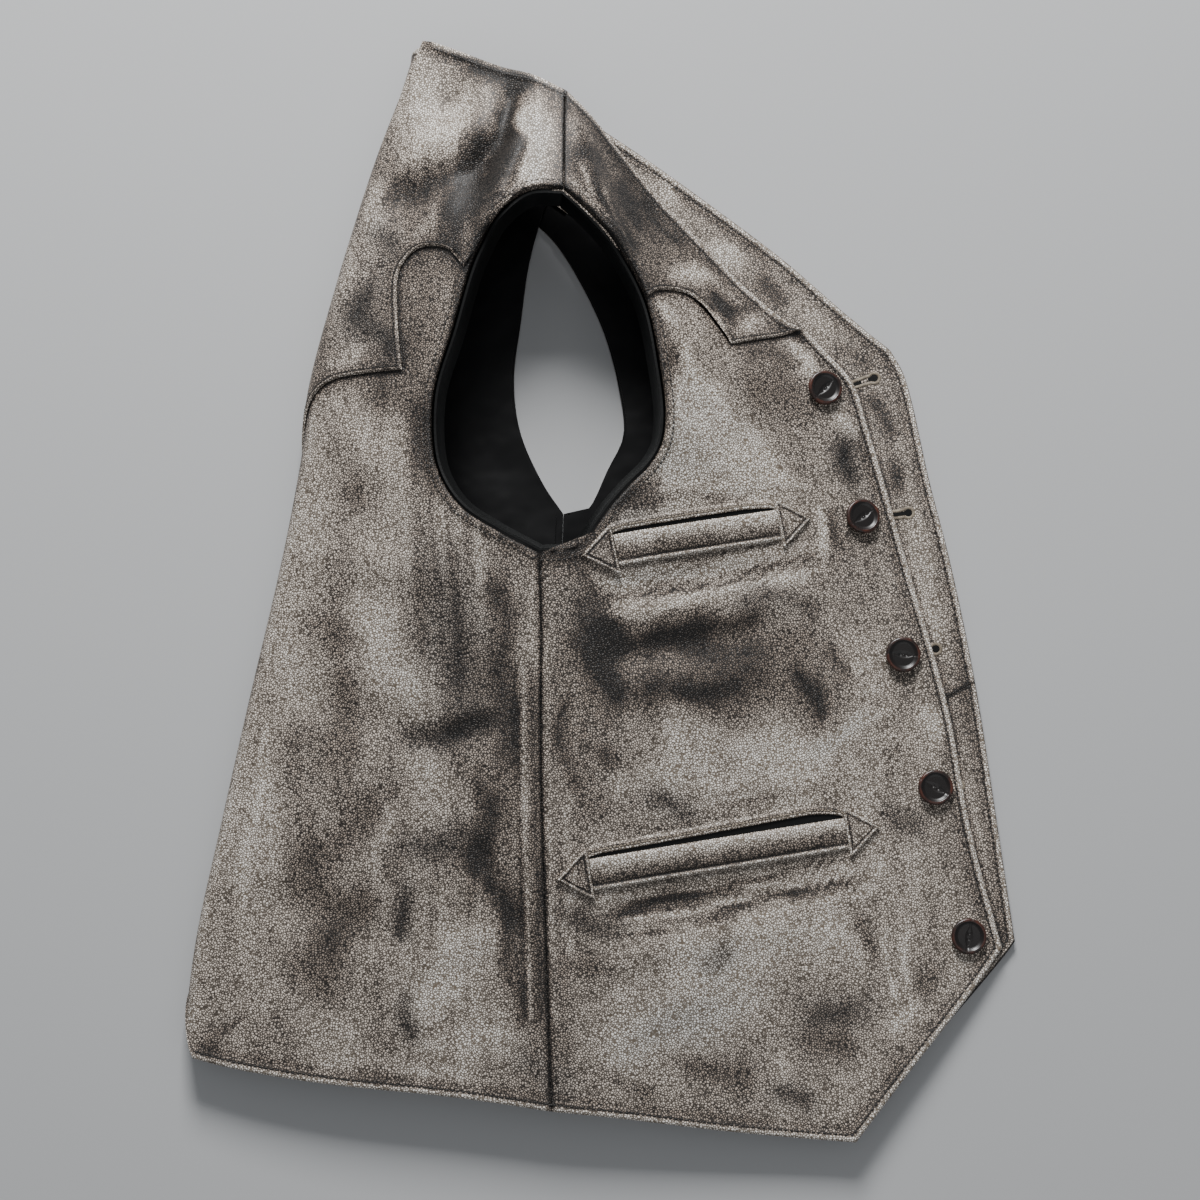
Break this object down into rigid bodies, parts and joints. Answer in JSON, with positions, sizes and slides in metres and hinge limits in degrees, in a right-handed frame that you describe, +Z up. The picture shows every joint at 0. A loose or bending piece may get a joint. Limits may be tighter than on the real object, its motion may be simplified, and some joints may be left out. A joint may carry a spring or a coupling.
{
  "type": "leather vest",
  "caption": "Lined leather vest with yokes, welt pockets and a buttoned front, folded in half down the back and laid on its side.",
  "frame": {"origin": "on the surface that the vest lies on, under the middle of its plan box", "axes": "+Z up, +Y along the centre back from the hem to the neck, +X from the folded centre back to the front edges"},
  "size_m": [0.4854, 0.6532, 0.0802],
  "materials": {
    "body_leather": "satin",
    "yoke_leather": "satin",
    "pocket_leather": "satin",
    "facing_leather": "satin",
    "band_leather": "semi-gloss",
    "lining_cloth": "satin",
    "button_horn": "polished",
    "sewing_thread": "matt"
  },
  "bodies": {
    "root": {"back_panel": "body_leather", "right_front": "body_leather", "left_front": "body_leather", "back_yoke": "yoke_leather", "right_front_yoke": "yoke_leather", "upper_pocket_welt": "pocket_leather", "upper_pocket_tab_left": "pocket_leather", "upper_pocket_tab_right": "pocket_leather", "lower_pocket_welt": "pocket_leather", "lower_pocket_tab_left": "pocket_leather", "lower_pocket_tab_right": "pocket_leather", "button_1": "button_horn", "button_2": "button_horn", "button_3": "button_horn", "button_4": "button_horn", "button_5": "button_horn", "left_facing_upper": "facing_leather", "left_facing_lower": "facing_leather", "back_lining": "lining_cloth", "left_front_lining": "lining_cloth", "right_armhole_band": "band_leather"}
  },
  "joints": []
}
